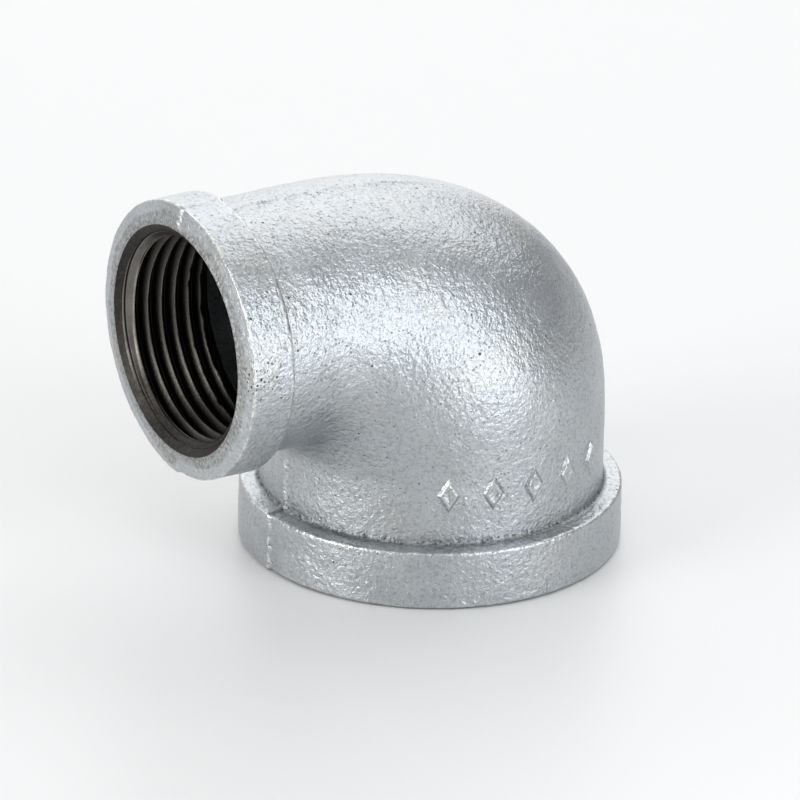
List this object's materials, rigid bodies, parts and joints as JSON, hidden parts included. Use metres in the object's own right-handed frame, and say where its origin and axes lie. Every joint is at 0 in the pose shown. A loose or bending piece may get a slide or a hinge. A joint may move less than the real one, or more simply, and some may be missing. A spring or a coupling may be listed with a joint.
{
  "type": "reducing pipe elbow",
  "caption": "Hollow right-angle pipe elbow that reduces from a large to a small female thread, with a thick band round each mouth and a galvanised finish.",
  "frame": {"origin": "centre of the large socket's end face", "axes": "+Z along the large socket's axis into the elbow, -X out of the small socket's mouth, Y across the plane of symmetry"},
  "size_m": [0.073, 0.057, 0.0609],
  "materials": {
    "zinc_coated_iron": "hot-dip zinc over rough cast iron, dull silver, slightly mottled and pitted",
    "machined_iron": "bare machined iron, dark and lightly oiled"
  },
  "bodies": {
    "root": {"bend_shell": "zinc_coated_iron", "large_band": "zinc_coated_iron", "small_band": "zinc_coated_iron", "raised_marks": "zinc_coated_iron", "large_thread": "machined_iron", "small_thread": "machined_iron"}
  },
  "joints": []
}
